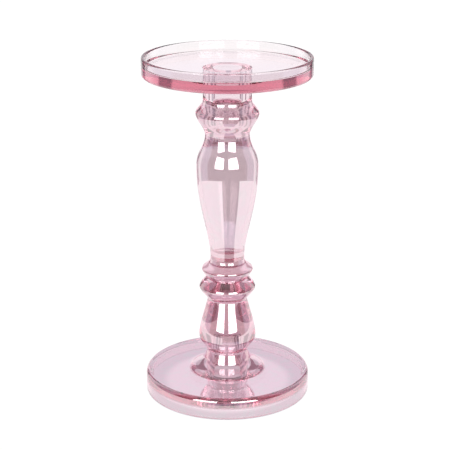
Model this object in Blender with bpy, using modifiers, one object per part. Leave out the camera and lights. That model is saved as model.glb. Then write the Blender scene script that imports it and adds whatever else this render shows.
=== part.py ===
"""Turned-glass candlestick: six pressed and blown glass sections stacked on one axis.

Metres, +Z up. The origin is the centre of the ring the foot stands on.
"""

import math

import bpy
from mathutils import Vector

MM = 0.001

# Driving dimensions
TOTAL_HEIGHT = 290 * MM
DISC_RADIUS = 70 * MM
JOINT_GAP = 0.3 * MM

# Plate: a flat disc with a standing rim
PLATE_HEIGHT = 16 * MM
PLATE_SLAB = 8 * MM
RIM_WALL = 3 * MM
RIM_FILLET = 2 * MM
PLATE_EDGE_RADIUS = 3 * MM

# Foot: a dished disc turned upside down, with a cone on top
FOOT_HEIGHT = 18 * MM
FOOT_RECESS = 8.5 * MM
FOOT_WALL = 4.5 * MM
FOOT_TOP_EDGE_RADIUS = 4 * MM
FOOT_LAND_RADIUS = 1.2 * MM
FOOT_INNER_FILLET = 2 * MM
CONE_FOOT_RADIUS = 34 * MM
CONE_WAIST = (19.3 * MM, 27.4 * MM)
CONE_SHOULDER = (27.6 * MM, 21.2 * MM)
CORE_BOTTOM_RADIUS = 15 * MM

# Heights of the joints between the sections
WAIST_HEIGHT = 225.3 * MM
TAIL_HEIGHT = 118.4 * MM
THROAT_HEIGHT = 81.7 * MM
ANKLE_HEIGHT = 34.5 * MM

# Outer radii, from the top down
NECK_RADIUS = 20.2 * MM
COLLAR_RADIUS = 26.3 * MM
WAIST_RADIUS = 18.5 * MM
BALUSTER_RADIUS = 25.9 * MM
TAIL_RADIUS = 14.3 * MM
UPPER_RING_RADIUS = 21.5 * MM
GROOVE_RADIUS = 17.3 * MM
LOWER_RING_RADIUS = 23.8 * MM
THROAT_RADIUS = 16.7 * MM
BULB_RADIUS = 24.2 * MM
ANKLE_RADIUS = 17.0 * MM

# Hollows inside the sections
COLLAR_BORE = 12 * MM
COLLAR_BORE_END = 6 * MM
BALUSTER_WALL = 2.4 * MM
BALUSTER_MOUTH = 8 * MM
CORE_RADIUS = 9 * MM
CORE_TOP_RADIUS = 8 * MM

DISC_STEPS = 56
STEM_STEPS = 36

GLASS_COLOUR = (0.93, 0.66, 0.71, 1.0)
GLASS_ROUGHNESS = 0.03
GLASS_ALPHA = 0.35


def clear_scene():
    for old in list(bpy.data.objects):
        bpy.data.objects.remove(old, do_unlink=True)


def new_collection(name):
    collection = bpy.data.collections.new(name)
    bpy.context.scene.collection.children.link(collection)
    return collection


def glass_material(name, tint):
    """Pale pink glass, its colour scaled by tint."""
    material = bpy.data.materials.new(name)
    material.use_nodes = True
    shader = material.node_tree.nodes["Principled BSDF"]
    colour = [channel * tint for channel in GLASS_COLOUR[:3]] + [1.0]
    shader.inputs["Base Color"].default_value = colour
    shader.inputs["Roughness"].default_value = GLASS_ROUGHNESS
    shader.inputs["Metallic"].default_value = 0.0
    shader.inputs["IOR"].default_value = 1.5
    shader.inputs["Alpha"].default_value = GLASS_ALPHA
    material.diffuse_color = (*colour[:3], GLASS_ALPHA)
    return material


def arc(centre, radius, start, end, count):
    """Points on an arc in the (radius, height) plane, angles in degrees."""
    points = []
    for index in range(count + 1):
        angle = math.radians(start + (end - start) * index / count)
        points.append((centre[0] + radius * math.cos(angle), centre[1] + radius * math.sin(angle)))
    return points


def sweep(start, start_pull, end, end_pull, count):
    """Points on a cubic curve; each pull is the handle's (radius, height) offset."""
    handles = [
        Vector(start),
        Vector(start) + Vector(start_pull),
        Vector(end) + Vector(end_pull),
        Vector(end),
    ]
    points = []
    for index in range(count + 1):
        t = index / count
        s = 1 - t
        weights = (s ** 3, 3 * s * s * t, 3 * s * t * t, t ** 3)
        point = sum((w * h for w, h in zip(weights, handles)), Vector((0, 0)))
        points.append((point.x, point.y))
    return points


def joined(*stretches):
    """One outline from several stretches, without repeated points."""
    outline = []
    for stretch in stretches:
        for point in stretch:
            if not outline or (Vector(point) - Vector(outline[-1])).length > 0.01 * MM:
                outline.append(point)
    return outline


def turned(name, outline, steps, collection, material, closed=False):
    """A solid of revolution from an outline that runs down its outer side."""
    mesh = bpy.data.meshes.new(name)
    count = len(outline)
    edges = [(index, index + 1) for index in range(count - 1)]
    if closed:
        edges.append((count - 1, 0))
    mesh.from_pydata([(radius, 0, height) for radius, height in outline], edges, [])
    obj = bpy.data.objects.new(name, mesh)
    collection.objects.link(obj)
    obj.data.materials.append(material)
    screw = obj.modifiers.new("Turn", "SCREW")
    screw.angle = math.tau
    screw.steps = steps
    screw.render_steps = steps
    screw.use_merge_vertices = True
    screw.merge_threshold = 0.01 * MM
    screw.use_smooth_shade = True
    return obj


def plate_outline():
    top = TOTAL_HEIGHT
    bottom = TOTAL_HEIGHT - PLATE_HEIGHT
    floor = bottom + PLATE_SLAB
    inner = DISC_RADIUS - RIM_WALL
    lip = RIM_WALL / 2
    return joined(
        [(0, floor)],
        arc((inner - RIM_FILLET, floor + RIM_FILLET), RIM_FILLET, -90, 0, 4),
        arc((DISC_RADIUS - lip, top - lip), lip, 180, 0, 8),
        arc((DISC_RADIUS - PLATE_EDGE_RADIUS, bottom + PLATE_EDGE_RADIUS), PLATE_EDGE_RADIUS, 0, -90, 5),
        [(0, bottom)],
    )


def collar_outline():
    """Straight neck over a round collar, with a bore from above that ends in a funnel."""
    top = TOTAL_HEIGHT - PLATE_HEIGHT - JOINT_GAP
    neck_end = WAIST_HEIGHT + 29.1 * MM
    widest = WAIST_HEIGHT + 17.6 * MM
    bore_end = WAIST_HEIGHT + 4.7 * MM
    funnel_top = WAIST_HEIGHT + 14.7 * MM
    return joined(
        [(COLLAR_BORE, top), (NECK_RADIUS, top)],
        sweep((NECK_RADIUS, neck_end), (0, -5.2 * MM), (COLLAR_RADIUS, widest), (0, 4.1 * MM), 10),
        sweep((COLLAR_RADIUS, widest), (0, -5.6 * MM), (WAIST_RADIUS, WAIST_HEIGHT), (0.2 * MM, 6.2 * MM), 10),
        [(0, WAIST_HEIGHT), (0, bore_end), (COLLAR_BORE_END, bore_end)],
        sweep((COLLAR_BORE_END, bore_end), (1 * MM, 3 * MM), (COLLAR_BORE, funnel_top), (0, -4 * MM), 5),
        [(COLLAR_BORE, top)],
    )


def baluster_outline():
    """Vase-shaped blown section: thick at both ends, thin in the belly."""
    top = WAIST_HEIGHT - JOINT_GAP
    bottom = TAIL_HEIGHT
    widest = bottom + 79.8 * MM
    roof = top - 4 * MM
    floor = bottom + 5.5 * MM
    belly = BALUSTER_RADIUS - BALUSTER_WALL
    tail_inside = TAIL_RADIUS - BALUSTER_WALL
    corner = 4 * MM
    return joined(
        [(BALUSTER_MOUTH, top), (WAIST_RADIUS + 0.1 * MM, top)],
        sweep((WAIST_RADIUS + 0.1 * MM, top), (0, -10.9 * MM), (BALUSTER_RADIUS, widest), (0, 12.9 * MM), 12),
        sweep((BALUSTER_RADIUS, widest), (0, -35.1 * MM), (TAIL_RADIUS, bottom), (0, 21 * MM), 12),
        [(0, bottom), (0, floor)],
        arc((tail_inside - corner, floor + corner), corner, -90, 0, 4),
        sweep((tail_inside, floor + corner), (0, 13 * MM), (belly, widest), (0, -33 * MM), 10),
        sweep((belly, widest), (0, 13 * MM), (BALUSTER_MOUTH + 4 * MM, roof), (5 * MM, -4 * MM), 8),
        [(BALUSTER_MOUTH, roof), (BALUSTER_MOUTH, top)],
    )


def ring_knop_outline():
    """Two rings with a groove between them, pressed solid."""
    top = TAIL_HEIGHT - JOINT_GAP
    bottom = THROAT_HEIGHT
    upper = bottom + 26 * MM
    groove = bottom + 19.2 * MM
    lower = bottom + 10.6 * MM
    return joined(
        [(0, top), (TAIL_RADIUS, top)],
        sweep((TAIL_RADIUS, top), (0, -6.3 * MM), (UPPER_RING_RADIUS, upper), (0, 3.9 * MM), 8),
        sweep((UPPER_RING_RADIUS, upper), (0, -0.6 * MM), (GROOVE_RADIUS, groove), (0.9 * MM, 0.5 * MM), 5),
        sweep((GROOVE_RADIUS, groove), (0.9 * MM, -0.5 * MM), (LOWER_RING_RADIUS, lower), (0, 2.5 * MM), 6),
        sweep((LOWER_RING_RADIUS, lower), (0, -2.8 * MM), (THROAT_RADIUS, bottom), (0.8 * MM, 2.9 * MM), 8),
        [(0, bottom)],
    )


def bulb_outline():
    """Pear-shaped section with a tapered core hole from below."""
    top = THROAT_HEIGHT - JOINT_GAP
    bottom = ANKLE_HEIGHT
    widest = bottom + 13.6 * MM
    core_shoulder = bottom + 13.5 * MM
    corner = 2 * MM
    return joined(
        [(0, top), (THROAT_RADIUS, top)],
        sweep((THROAT_RADIUS, top), (2.1 * MM, -9.5 * MM), (BULB_RADIUS, widest), (0, 9 * MM), 9),
        sweep((BULB_RADIUS, widest), (0, -5.6 * MM), (ANKLE_RADIUS, bottom), (-0.9 * MM, 2.5 * MM), 8),
        [(CORE_RADIUS, bottom)],
        arc((CORE_TOP_RADIUS - corner, core_shoulder), corner, 0, 90, 4),
        [(0, core_shoulder + corner)],
    )


def foot_outline():
    """Flared cone on a flat-topped disc, hollowed from below to a standing ring."""
    top = ANKLE_HEIGHT - JOINT_GAP
    edge = FOOT_TOP_EDGE_RADIUS
    land = FOOT_LAND_RADIUS
    inner = DISC_RADIUS - FOOT_WALL
    fillet = FOOT_INNER_FILLET
    return joined(
        [(CORE_RADIUS, top), (ANKLE_RADIUS, top)],
        sweep((ANKLE_RADIUS, top), (0.6 * MM, -2 * MM), CONE_WAIST, (-0.5 * MM, 2.2 * MM), 4),
        sweep(CONE_WAIST, (0.7 * MM, -3 * MM), CONE_SHOULDER, (-3 * MM, 1.5 * MM), 5),
        sweep(CONE_SHOULDER, (2.6 * MM, -1.3 * MM), (CONE_FOOT_RADIUS, FOOT_HEIGHT), (-2.2 * MM, 0.1 * MM), 4),
        arc((DISC_RADIUS - edge, FOOT_HEIGHT - edge), edge, 90, 0, 6),
        arc((DISC_RADIUS - land, land), land, 0, -90, 3),
        arc((inner + land, land), land, -90, -180, 3),
        arc((inner - fillet, FOOT_RECESS - fillet), fillet, 0, 90, 4),
        [(CORE_BOTTOM_RADIUS, FOOT_RECESS)],
    )


def build():
    clear_scene()
    parts = new_collection("glass_candlestick")
    turned("plate", plate_outline(), DISC_STEPS, parts, glass_material("plate_glass", 1.0))
    turned("collar", collar_outline(), STEM_STEPS, parts, glass_material("collar_glass", 0.97), closed=True)
    turned("baluster", baluster_outline(), STEM_STEPS, parts, glass_material("baluster_glass", 1.0), closed=True)
    turned("ring_knop", ring_knop_outline(), STEM_STEPS, parts, glass_material("ring_glass", 0.95))
    turned("bulb", bulb_outline(), STEM_STEPS, parts, glass_material("bulb_glass", 0.98))
    turned("foot", foot_outline(), DISC_STEPS, parts, glass_material("foot_glass", 1.0), closed=True)


build()
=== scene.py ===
import math

import bpy
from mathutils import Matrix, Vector
from mathutils.kdtree import KDTree


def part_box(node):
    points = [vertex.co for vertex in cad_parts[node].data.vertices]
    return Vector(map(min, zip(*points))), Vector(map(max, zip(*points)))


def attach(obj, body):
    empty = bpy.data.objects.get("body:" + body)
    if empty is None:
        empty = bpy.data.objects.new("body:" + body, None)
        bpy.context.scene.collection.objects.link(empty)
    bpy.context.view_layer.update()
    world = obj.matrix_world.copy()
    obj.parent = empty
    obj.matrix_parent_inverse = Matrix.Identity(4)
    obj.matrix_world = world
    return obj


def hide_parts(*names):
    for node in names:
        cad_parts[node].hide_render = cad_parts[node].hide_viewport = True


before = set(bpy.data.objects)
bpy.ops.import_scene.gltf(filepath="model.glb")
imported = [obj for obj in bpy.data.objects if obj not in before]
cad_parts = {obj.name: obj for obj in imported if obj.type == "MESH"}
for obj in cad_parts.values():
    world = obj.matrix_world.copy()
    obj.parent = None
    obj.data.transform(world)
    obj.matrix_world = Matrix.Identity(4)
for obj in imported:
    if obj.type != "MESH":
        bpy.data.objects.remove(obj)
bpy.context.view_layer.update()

MM = 0.001

# ---------------------------------------------------------------------------
# Foot. A pressed disc turned rim down, so it stands on a narrow ring and is
# hollow underneath, with a cone in its middle that carries the stem. Clear
# pale pink glass, fire polished, then fumed with a thin metal-oxide lustre.
# ---------------------------------------------------------------------------
GLASS_GAP = 0.02 * MM
DISC_TURNS = 160
STEM_TURNS = 128

foot_low, foot_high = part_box("foot")
foot_radius = foot_high.x
foot_slab_top = 18.0 * MM
foot_recess = 8.5 * MM
foot_wall = 4.5 * MM
foot_top_edge = 4.0 * MM
foot_land = 1.2 * MM
foot_fillet = 2.0 * MM
cone_spread = 34.0 * MM
cone_waist = (19.3 * MM, 27.4 * MM)
cone_shoulder = (27.6 * MM, 21.2 * MM)
ankle_radius = 17.0 * MM
core_low_radius = 15.0 * MM
core_radius = 9.0 * MM


def round_corner(centre, radius, start, end, count):
    """Points on a quarter or half round in the (radius, height) plane."""
    angles = [math.radians(start + (end - start) * step / count) for step in range(count + 1)]
    return [(centre[0] + radius * math.cos(a), centre[1] + radius * math.sin(a)) for a in angles]


def swept_line(start, start_pull, end, end_pull, count):
    """Points on the smooth curve that a turner's template would have."""
    a, d = Vector(start), Vector(end)
    b, c = a + Vector(start_pull), d + Vector(end_pull)
    line = []
    for step in range(count + 1):
        t = step / count
        s = 1 - t
        point = a * s ** 3 + b * (3 * s * s * t) + c * (3 * s * t * t) + d * t ** 3
        line.append((point.x, point.y))
    return line


def turn_glass(name, stretches, turns, closed=None):
    """Draws the outline out of one point, spins it round the stem's axis and seals it.

    Each stretch is named: "skin" has the full lustre, "thin" lies where little
    of it reached, "bare" has none, and "bond" is fused to the next section.
    """
    outline, kinds = [], []
    for kind, stretch in stretches:
        for point in stretch:
            if not outline or (Vector(point) - Vector(outline[-1])).length > 0.005 * MM:
                outline.append(point)
                kinds.append(kind)
    bpy.ops.object.select_all(action="DESELECT")
    first = outline[0]
    bpy.ops.mesh.primitive_plane_add(size=0.1 * MM, location=(first[0], 0, first[1]))
    piece = bpy.context.object
    piece.name = name
    piece.data.name = name
    bpy.ops.object.mode_set(mode="EDIT")
    bpy.ops.mesh.select_all(action="SELECT")
    bpy.ops.mesh.merge(type="CENTER")
    here = first
    for there in outline[1:] + ([first] if closed else []):
        step = (there[0] - here[0], 0, there[1] - here[1])
        bpy.ops.mesh.extrude_region_move(TRANSFORM_OT_translate={"value": step})
        here = there
    bpy.ops.mesh.select_all(action="SELECT")
    bpy.ops.mesh.spin(steps=turns, angle=math.tau, center=(0, 0, 0), axis=(0, 0, 1))
    bpy.ops.mesh.select_all(action="SELECT")
    bpy.ops.mesh.remove_doubles(threshold=0.004 * MM)
    bpy.ops.mesh.normals_make_consistent(inside=False)
    bpy.ops.object.mode_set(mode="OBJECT")
    bpy.ops.object.transform_apply(location=True, rotation=True, scale=True)
    bpy.ops.object.shade_smooth_by_angle(angle=math.radians(35))
    # Each face takes the kind of the outline step it was spun from.
    finder = KDTree(len(outline))
    for index, (radius, height) in enumerate(outline):
        finder.insert((radius, 0, height), index)
    finder.balance()
    mesh = piece.data
    rank = []
    for vertex in mesh.vertices:
        radius = math.hypot(vertex.co.x, vertex.co.y)
        rank.append(finder.find((radius, 0, vertex.co.z))[1])
    lustre = mesh.attributes.new("lustre", "FLOAT", "FACE")
    bond = mesh.attributes.new("bond", "FLOAT", "FACE")
    for face in mesh.polygons:
        ranks = {rank[corner] for corner in face.vertices}
        kind = closed if closed and ranks == {0, len(outline) - 1} else kinds[max(ranks)]
        lustre.data[face.index].value = {"skin": 1.0, "thin": 0.25}.get(kind, 0.0)
        bond.data[face.index].value = float(kind == "bond")
    return piece


class Sum:
    """A shader socket that can be added, multiplied and compared like a number."""

    def __init__(self, tree, socket):
        self.tree = tree
        self.socket = socket

    def node(self, kind, settings=None, out=0, **sockets):
        """Any node: its settings first, then its sockets by name or _number."""
        made = self.tree.nodes.new(kind)
        for key, value in (settings or {}).items():
            setattr(made, key, value)
        for key, value in sockets.items():
            slot = made.inputs[int(key[1:]) if key[0] == "_" else key.replace("_", " ")]
            if isinstance(value, Sum):
                self.tree.links.new(value.socket, slot)
            else:
                slot.default_value = value
        return Sum(self.tree, made.outputs[out])

    def math(self, operation, other, swap=False):
        first, second = (other, self) if swap else (self, other)
        return self.node("ShaderNodeMath", {"operation": operation}, _0=first, _1=second)

    def __add__(self, other):
        return self.math("ADD", other)

    def __radd__(self, other):
        return self.math("ADD", other, swap=True)

    def __sub__(self, other):
        return self.math("SUBTRACT", other)

    def __rsub__(self, other):
        return self.math("SUBTRACT", other, swap=True)

    def __mul__(self, other):
        return self.math("MULTIPLY", other)

    def __rmul__(self, other):
        return self.math("MULTIPLY", other, swap=True)

    def ramp(self, low, high, to_low=0.0, to_high=1.0):
        """The value eased from one range into another."""
        settings = {"interpolation_type": "SMOOTHSTEP"}
        return self.node("ShaderNodeMapRange", settings, Value=self, From_Min=low, From_Max=high,
                         To_Min=to_low, To_Max=to_high)

    def tint(self, low, high):
        """Two colours mixed by the value."""
        return self.node("ShaderNodeMix", {"data_type": "RGBA"}, out=2, _0=self, _6=low, _7=high)


def lustre_glass(name, ripple):
    """Clear pale glass under a thin pink lustre that lies only on its outside."""
    material = bpy.data.materials.new(name)
    material.use_nodes = True
    tree = material.node_tree
    tree.nodes.clear()
    output = tree.nodes.new("ShaderNodeOutputMaterial")
    shader = tree.nodes.new("ShaderNodeBsdfPrincipled")
    depth = tree.nodes.new("ShaderNodeVolumeAbsorption")
    tree.links.new(shader.outputs[0], output.inputs["Surface"])
    tree.links.new(depth.outputs[0], output.inputs["Volume"])
    depth.inputs["Color"].default_value = (0.92, 0.57, 0.66, 1.0)
    depth.inputs["Density"].default_value = 22.0
    shader.inputs["Transmission Weight"].default_value = 1.0
    shader.inputs["IOR"].default_value = 1.5
    shader.inputs["Coat Roughness"].default_value = 0.0
    shader.inputs["Coat IOR"].default_value = 3.8
    shader.inputs["Coat Tint"].default_value = (0.83, 0.68, 0.73, 1.0)
    where = Sum(tree, tree.nodes.new("ShaderNodeTexCoord").outputs["Object"])
    broad = where.node("ShaderNodeTexNoise", _0=where, Scale=22.0, Detail=2.0, Roughness=0.5)
    fine = where.node("ShaderNodeTexNoise", _0=where, Scale=160.0, Detail=3.0, Roughness=0.6)
    blush = (broad * 0.8 + fine * 0.2).ramp(0.35, 0.65)
    paint = blush.tint((0.995, 0.975, 0.98, 1.0), (0.98, 0.97, 0.99, 1.0))
    tree.links.new(paint.socket, shader.inputs["Base Color"])
    sheen = fine.ramp(0.3, 0.75, 0.0, 0.012)
    tree.links.new(sheen.socket, shader.inputs["Roughness"])
    wave = where.node("ShaderNodeBump", Strength=ripple, Distance=0.6 * MM, Height=broad)
    tree.links.new(wave.socket, shader.inputs["Normal"])
    skin = where.node("ShaderNodeAttribute", {"attribute_name": "lustre"}, out=2)
    from_within = where.node("ShaderNodeNewGeometry", out="Backfacing")
    tree.links.new((skin * (1 - from_within)).socket, shader.inputs["Coat Weight"])
    fused = where.node("ShaderNodeAttribute", {"attribute_name": "bond"}, out=2)
    tree.links.new((1 - fused).socket, shader.inputs["Alpha"])
    return material


foot_outline = [
    ("bond", [(core_radius, foot_high.z), (ankle_radius, foot_high.z)]),
    ("skin", swept_line((ankle_radius, foot_high.z), (0.6 * MM, -2 * MM),
                        cone_waist, (-0.5 * MM, 2.2 * MM), 12)),
    ("skin", swept_line(cone_waist, (0.7 * MM, -3 * MM), cone_shoulder, (-3 * MM, 1.5 * MM), 14)),
    ("skin", swept_line(cone_shoulder, (2.6 * MM, -1.3 * MM),
                        (cone_spread, foot_slab_top), (-2.2 * MM, 0.1 * MM), 12)),
    ("skin", [(cone_spread + 2 * MM, foot_slab_top),
              (foot_radius - foot_top_edge - MM, foot_slab_top)]),
    ("skin", round_corner((foot_radius - foot_top_edge, foot_slab_top - foot_top_edge),
                          foot_top_edge, 90, 0, 14)),
    ("skin", [(foot_radius, foot_land + MM)]),
    ("skin", round_corner((foot_radius - foot_land, foot_land), foot_land, 0, -90, 8)),
    ("skin", round_corner((foot_radius - foot_wall + foot_land, foot_land), foot_land, -90, -180, 8)),
    ("skin", round_corner((foot_radius - foot_wall - foot_fillet, foot_recess - foot_fillet),
                          foot_fillet, 0, 90, 8)),
    ("skin", [(foot_radius - foot_wall - foot_fillet - MM, foot_recess), (core_low_radius + MM, foot_recess),
              (core_low_radius, foot_recess)]),
    ("bare", swept_line((core_low_radius, foot_recess), (-1 * MM, 6 * MM),
                        (core_radius, foot_high.z), (0, -8 * MM), 14)[:-1]),
]
foot = turn_glass("foot_glass", foot_outline, DISC_TURNS, closed="bare")
foot.data.materials.append(lustre_glass("foot lustre", 0.006))
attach(foot, "root")
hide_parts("foot")

# ---------------------------------------------------------------------------
# Bulb. A pear-shaped pressed section on top of the cone. A tapered core hole
# comes up into it from below. It is bonded at both ends.
# ---------------------------------------------------------------------------
bulb_low, bulb_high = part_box("bulb")
bulb_radius = bulb_high.x
bulb_bottom = foot_high.z + GLASS_GAP
bulb_top = bulb_high.z
throat_radius = 16.7 * MM
bulb_widest = bulb_low.z + 13.6 * MM
core_shoulder = bulb_low.z + 13.5 * MM
core_top_radius = 8.0 * MM
core_corner = 2 * MM

bulb_outline = [
    ("bond", [(0, bulb_top), (throat_radius - MM, bulb_top), (throat_radius, bulb_top)]),
    ("skin", swept_line((throat_radius, bulb_top), (2.1 * MM, -9.5 * MM),
                        (bulb_radius, bulb_widest), (0, 9 * MM), 34)),
    ("skin", swept_line((bulb_radius, bulb_widest), (0, -5.6 * MM),
                        (ankle_radius, bulb_bottom), (-0.9 * MM, 2.5 * MM), 24)),
    ("bond", [(core_radius, bulb_bottom)]),
    ("bare", round_corner((core_top_radius - core_corner, core_shoulder), core_corner, 0, 90, 10)),
    ("bare", [(0, core_shoulder + core_corner)]),
]
bulb = turn_glass("bulb_glass", bulb_outline, STEM_TURNS)
bulb.data.materials.append(lustre_glass("bulb lustre", 0.01))
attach(bulb, "root")
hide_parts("bulb")

# ---------------------------------------------------------------------------
# Ring knop. Two rings with a groove between them, pressed solid, so it holds
# the deepest colour of the stem.
# ---------------------------------------------------------------------------
ring_low, ring_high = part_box("ring_knop")
ring_bottom = bulb_top + GLASS_GAP
ring_top = ring_high.z
tail_radius = 14.3 * MM
upper_ring_radius = 21.5 * MM
upper_ring = ring_low.z + 26 * MM
groove_radius = 17.3 * MM
groove = ring_low.z + 19.2 * MM
lower_ring_radius = ring_high.x
lower_ring = ring_low.z + 10.6 * MM

ring_outline = [
    ("bond", [(0, ring_top), (tail_radius - MM, ring_top), (tail_radius, ring_top)]),
    ("skin", swept_line((tail_radius, ring_top), (0, -6.3 * MM),
                        (upper_ring_radius, upper_ring), (0, 3.9 * MM), 22)),
    ("skin", swept_line((upper_ring_radius, upper_ring), (0, -0.6 * MM),
                        (groove_radius, groove), (0.9 * MM, 0.5 * MM), 14)),
    ("skin", swept_line((groove_radius, groove), (0.9 * MM, -0.5 * MM),
                        (lower_ring_radius, lower_ring), (0, 2.5 * MM), 16)),
    ("skin", swept_line((lower_ring_radius, lower_ring), (0, -2.8 * MM),
                        (throat_radius, ring_bottom), (0.8 * MM, 2.9 * MM), 22)),
    ("bond", [(throat_radius - MM, ring_bottom), (0, ring_bottom)]),
]
ring_knop = turn_glass("ring_knop_glass", ring_outline, STEM_TURNS)
ring_knop.data.materials.append(lustre_glass("ring lustre", 0.01))
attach(ring_knop, "root")
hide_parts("ring_knop")

# ---------------------------------------------------------------------------
# Baluster. The long vase-shaped section, blown, so it is thin in the belly
# and thick at both ends where it joins its neighbours.
# ---------------------------------------------------------------------------
baluster_low, baluster_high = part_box("baluster")
baluster_radius = baluster_high.x
baluster_bottom = ring_top + GLASS_GAP
baluster_top = baluster_high.z
waist_radius = 18.6 * MM
baluster_widest = baluster_low.z + 79.8 * MM
belly_wall = 2.4 * MM
hollow_floor = baluster_low.z + 5.5 * MM
hollow_roof = baluster_high.z - 4 * MM
hollow_corner = 4 * MM
tail_inside = tail_radius - belly_wall
belly_inside = baluster_radius - belly_wall
mouth_radius = 8 * MM

baluster_outline = [
    ("bond", [(mouth_radius, baluster_top), (waist_radius, baluster_top)]),
    ("skin", swept_line((waist_radius, baluster_top), (0, -10.9 * MM),
                        (baluster_radius, baluster_widest), (0, 12.9 * MM), 34)),
    ("skin", swept_line((baluster_radius, baluster_widest), (0, -35.1 * MM),
                        (tail_radius, baluster_bottom), (0, 21 * MM), 44)),
    ("bond", [(0, baluster_bottom)]),
    ("bare", [(0, hollow_floor)]),
    ("bare", round_corner((tail_inside - hollow_corner, hollow_floor + hollow_corner),
                          hollow_corner, -90, 0, 10)),
    ("bare", swept_line((tail_inside, hollow_floor + hollow_corner), (0, 13 * MM),
                        (belly_inside, baluster_widest), (0, -33 * MM), 40)),
    ("bare", swept_line((belly_inside, baluster_widest), (0, 13 * MM),
                        (mouth_radius + 4 * MM, hollow_roof), (5 * MM, -4 * MM), 26)),
    ("bare", [(mouth_radius, hollow_roof)]),
]
baluster = turn_glass("baluster_glass", baluster_outline, STEM_TURNS, closed="bare")
baluster.data.materials.append(lustre_glass("baluster lustre", 0.01))
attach(baluster, "root")
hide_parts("baluster")

# ---------------------------------------------------------------------------
# Collar. A straight neck over a round collar, thick walled, with a core hole
# down from the top that ends in a funnel.
# ---------------------------------------------------------------------------
collar_low, collar_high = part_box("collar")
collar_radius = collar_high.x
collar_bottom = baluster_top + GLASS_GAP
collar_top = collar_high.z
neck_radius = 20.2 * MM
neck_end = collar_low.z + 29.1 * MM
collar_widest = collar_low.z + 17.6 * MM
bore_radius = 12.0 * MM
bore_tip = 6.0 * MM
bore_floor = collar_low.z + 4.7 * MM
funnel_top = collar_low.z + 14.7 * MM

collar_outline = [
    ("bond", [(bore_radius, collar_top), (neck_radius - MM, collar_top), (neck_radius, collar_top)]),
    ("bare", [(neck_radius, collar_top - MM), (neck_radius, neck_end + MM)]),
    ("skin", swept_line((neck_radius, neck_end), (0, -5.2 * MM),
                        (collar_radius, collar_widest), (0, 4.1 * MM), 28)),
    ("skin", swept_line((collar_radius, collar_widest), (0, -5.6 * MM),
                        (waist_radius, collar_bottom), (0.2 * MM, 6.2 * MM), 28)),
    ("bond", [(mouth_radius, collar_bottom)]),
    ("bare", [(0, collar_bottom), (0, bore_floor), (bore_tip, bore_floor)]),
    ("bare", swept_line((bore_tip, bore_floor), (1 * MM, 3 * MM), (bore_radius, funnel_top), (0, -4 * MM), 14)),
]
collar = turn_glass("collar_glass", collar_outline, STEM_TURNS, closed="bare")
collar.data.materials.append(lustre_glass("collar lustre", 0.01))
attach(collar, "root")
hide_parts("collar")

# ---------------------------------------------------------------------------
# Plate. A pressed dish with a flat floor and a low standing rim that keeps
# the wax in, bonded on top of the neck.
# ---------------------------------------------------------------------------
plate_low, plate_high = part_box("plate")
plate_radius = plate_high.x
plate_bottom = collar_top + GLASS_GAP
plate_floor = plate_low.z + 8 * MM
rim_wall = 3 * MM
rim_fillet = 2 * MM
rim_lip = rim_wall / 2
plate_edge = 3 * MM
rim_inside = plate_radius - rim_wall

plate_outline = [
    ("bare", [(0, plate_floor), (rim_inside - rim_fillet - MM, plate_floor)]),
    ("bare", round_corner((rim_inside - rim_fillet, plate_floor + rim_fillet), rim_fillet, -90, 0, 8)),
    ("bare", round_corner((plate_radius - rim_lip, plate_high.z - rim_lip), rim_lip, 180, 0, 16)),
    ("thin", round_corner((plate_radius - plate_edge, plate_bottom + plate_edge), plate_edge, 0, -90, 12)),
    ("thin", [(plate_radius - plate_edge - MM, plate_bottom), (neck_radius, plate_bottom)]),
    ("bond", [(bore_radius, plate_bottom)]),
    ("bare", [(0, plate_bottom)]),
]
plate = turn_glass("plate_glass", plate_outline, DISC_TURNS)
plate.data.materials.append(lustre_glass("plate lustre", 0.006))
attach(plate, "root")
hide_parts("plate")

# ---------------------------------------------------------------------------
# Studio. A round white table, two upright soft lights in front, and a pale
# surround that is dimmer on the camera's side.
# ---------------------------------------------------------------------------
WHITE_LEVEL = 1.05
PAPER_WHITE = (WHITE_LEVEL, WHITE_LEVEL, WHITE_LEVEL, 1)
DUSK = (0.13, 0.09, 0.085, 1.0)
table_radius = 0.53

bpy.ops.object.select_all(action="DESELECT")
bpy.ops.mesh.primitive_circle_add(vertices=180, radius=table_radius, fill_type="NGON",
                                  location=(0, 0, -0.2 * MM))
table = bpy.context.object
table.name = "table"
bpy.ops.object.transform_apply(location=True, rotation=True, scale=True)
white = bpy.data.materials.new("white table with painted foot shadow")
white.use_nodes = True
white_shader = white.node_tree.nodes["Principled BSDF"]
white_shader.inputs["Base Color"].default_value = (0.0, 0.0, 0.0, 1.0)
white_shader.inputs["Specular IOR Level"].default_value = 0.0
on_table = Sum(white.node_tree, white.node_tree.nodes.new("ShaderNodeTexCoord").outputs["Object"])
from_stem = on_table.node("ShaderNodeVectorMath", {"operation": "LENGTH"}, out="Value", _0=on_table)
# Painted shadow under the foot, seen only through the glass: pale in the middle, darkest in a ring just inside the
# foot's rim, white beyond it.
painted_shadow_tones = from_stem.ramp(0.048, 0.058).tint((0.90, 0.88, 0.93, 1.0), (0.60, 0.56, 0.63, 1.0))
painted_shadow_reach = from_stem.ramp(0.0685, 0.0705)
shade = painted_shadow_reach.node("ShaderNodeMix", {"data_type": "RGBA"}, out=2, _0=painted_shadow_reach, _6=painted_shadow_tones,
                  _7=(1.0, 1.0, 1.0, 1.0))
white.node_tree.links.new(shade.socket, white_shader.inputs["Emission Color"])
white_shader.inputs["Emission Strength"].default_value = WHITE_LEVEL
table.data.materials.append(white)
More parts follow.
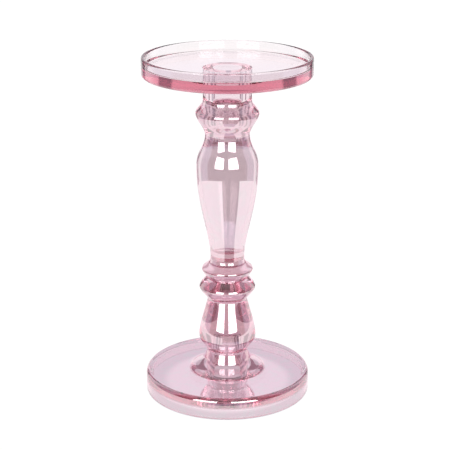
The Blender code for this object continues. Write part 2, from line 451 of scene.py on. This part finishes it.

# A dark glowing sheet on the table in front, out of the picture and hidden from the camera, is painted shade that
# shows only as dark reflections in the glass; the ring of it nearest the stem is lilac-grey, painted shade on the
# table there.
bpy.ops.object.select_all(action="DESELECT")
bpy.ops.mesh.primitive_circle_add(vertices=90, radius=table_radius, fill_type="NOTHING", location=(0, 0, 0.2 * MM))
flag = bpy.context.object
flag.name = "painted shade sheet"
flag_inner = 0.10
flag_from, flag_to = math.radians(-19), math.radians(45)
bpy.ops.object.mode_set(mode="EDIT")
bpy.ops.mesh.select_all(action="SELECT")
bpy.ops.mesh.delete(type="VERT")
bpy.ops.mesh.primitive_plane_add(size=0.001, location=(flag_inner * math.sin(flag_from),
                                                        -flag_inner * math.cos(flag_from), 0.2 * MM))
bpy.ops.mesh.merge(type="CENTER")
reach = table_radius - flag_inner
bpy.ops.mesh.extrude_region_move(TRANSFORM_OT_translate={
    "value": (reach * math.sin(flag_from), -reach * math.cos(flag_from), 0)})
bpy.ops.mesh.select_all(action="SELECT")
bpy.ops.mesh.spin(steps=32, angle=flag_from - flag_to, center=(0, 0, 0), axis=(0, 0, 1))
bpy.ops.object.mode_set(mode="OBJECT")
bpy.ops.object.transform_apply(location=True, rotation=True, scale=True)
dark = bpy.data.materials.new("painted shade sheet")
dark.use_nodes = True
dark_shader = dark.node_tree.nodes["Principled BSDF"]
dark_shader.inputs["Base Color"].default_value = (0.0, 0.0, 0.0, 1.0)
dark_shader.inputs["Specular IOR Level"].default_value = 0.0
on_flag = Sum(dark.node_tree, dark.node_tree.nodes.new("ShaderNodeTexCoord").outputs["Object"])
out_along = on_flag.node("ShaderNodeVectorMath", {"operation": "LENGTH"}, out="Value", _0=on_flag)
# Painted shade: lilac-grey out to about 0.19 m from the stem, dusk-brown beyond.
painted_table_shade = out_along.ramp(0.186, 0.196).tint((0.46, 0.42, 0.52, 1.0), DUSK)
dark.node_tree.links.new(painted_table_shade.socket, dark_shader.inputs["Emission Color"])
dark_shader.inputs["Emission Strength"].default_value = 1.0
flag.data.materials.append(dark)
flag.visible_camera = False

world = bpy.data.worlds.new("studio")
bpy.context.scene.world = world
world.use_nodes = True
sky = world.node_tree
sky.nodes.clear()
sky_output = sky.nodes.new("ShaderNodeOutputWorld")
toward = Sum(sky, sky.nodes.new("ShaderNodeTexCoord").outputs["Generated"])
split = sky.nodes.new("ShaderNodeSeparateXYZ")
sky.links.new(toward.socket, split.inputs[0])
side, away, up = (Sum(sky, split.outputs[axis]) for axis in range(3))
turned_from_front = side.math("ARCTAN2", away * -1.0).math("ABSOLUTE", 0.0)
DEGREE = math.radians(1)
front_dusk = turned_from_front.ramp(75 * DEGREE, 81 * DEGREE).tint(DUSK, (0.42, 0.40, 0.47, 1))
around = turned_from_front.ramp(106 * DEGREE, 126 * DEGREE)
behind = up.ramp(math.sin(4 * DEGREE), math.sin(15 * DEGREE)).tint(
    PAPER_WHITE, (0.90, 0.90, 0.97, 1))
walls = around.node("ShaderNodeMix", {"data_type": "RGBA"}, out=2, _0=around, _6=front_dusk,
                    _7=behind)
overhead = up.ramp(math.sin(45 * DEGREE), math.sin(75 * DEGREE))
# A narrow dim panel on each side of the backdrop draws the glass's outline.
panel_from = turned_from_front.ramp(139 * DEGREE, 142 * DEGREE)
panel_to = turned_from_front.ramp(151 * DEGREE, 154 * DEGREE)
panel = panel_from - panel_to
lined = panel.node("ShaderNodeMix", {"data_type": "RGBA"}, out=2, _0=panel, _6=walls,
                   _7=(0.36, 0.26, 0.31, 1))
room = overhead.node("ShaderNodeMix", {"data_type": "RGBA"}, out=2, _0=overhead, _6=lined,
                     _7=(0.30, 0.27, 0.29, 1))
seen = sky.nodes.new("ShaderNodeLightPath")
to_lens = Sum(sky, seen.outputs["Is Camera Ray"])
backdrop = to_lens.node("ShaderNodeMix", {"data_type": "RGBA"}, out=2, _0=to_lens, _6=room,
                        _7=PAPER_WHITE)
glow = backdrop.node("ShaderNodeBackground", _0=backdrop, Strength=1.0)
sky.links.new(glow.socket, sky_output.inputs["Surface"])


def soft_light(name, azimuth, distance, centre_height, width, height, power):
    """An upright softbox that faces the stem."""
    lamp = bpy.data.lights.new(name, "AREA")
    lamp.shape = "RECTANGLE"
    lamp.size = width
    lamp.size_y = height
    lamp.energy = power
    place = bpy.data.objects.new(name, lamp)
    bpy.context.scene.collection.objects.link(place)
    turn = math.radians(azimuth)
    place.location = (distance * math.sin(turn), -distance * math.cos(turn), centre_height)
    place.rotation_euler = (math.radians(90), 0, turn)
    return place


softbox_distance = 2.1
softbox_height = 0.83
softbox_tall = 1.48
soft_light("left softbox", -30.5, softbox_distance, softbox_height, 1.24, softbox_tall, 19.0)
soft_light("right softbox", 23.0, softbox_distance, softbox_height, 1.38, softbox_tall, 21.0)

scene = bpy.context.scene
scene.view_settings.view_transform = "Standard"
scene.cycles.max_bounces = 32
scene.cycles.transmission_bounces = 32
scene.cycles.glossy_bounces = 12
scene.cycles.transparent_max_bounces = 64

# ---------------------------------------------------------------------------
# Camera. At a little over a metre, looking down by 18 degrees.
# ---------------------------------------------------------------------------
lens = bpy.data.cameras.new("camera")
camera = bpy.data.objects.new("camera", lens)
scene.collection.objects.link(camera)
lens.sensor_width = 36.0
lens.lens = 111.6
lens.shift_x = -0.0053
camera.location = (0.0, -1.1116, 0.5132)
camera.rotation_euler = (math.radians(71.73), 0.0, 0.0)
scene.camera = camera
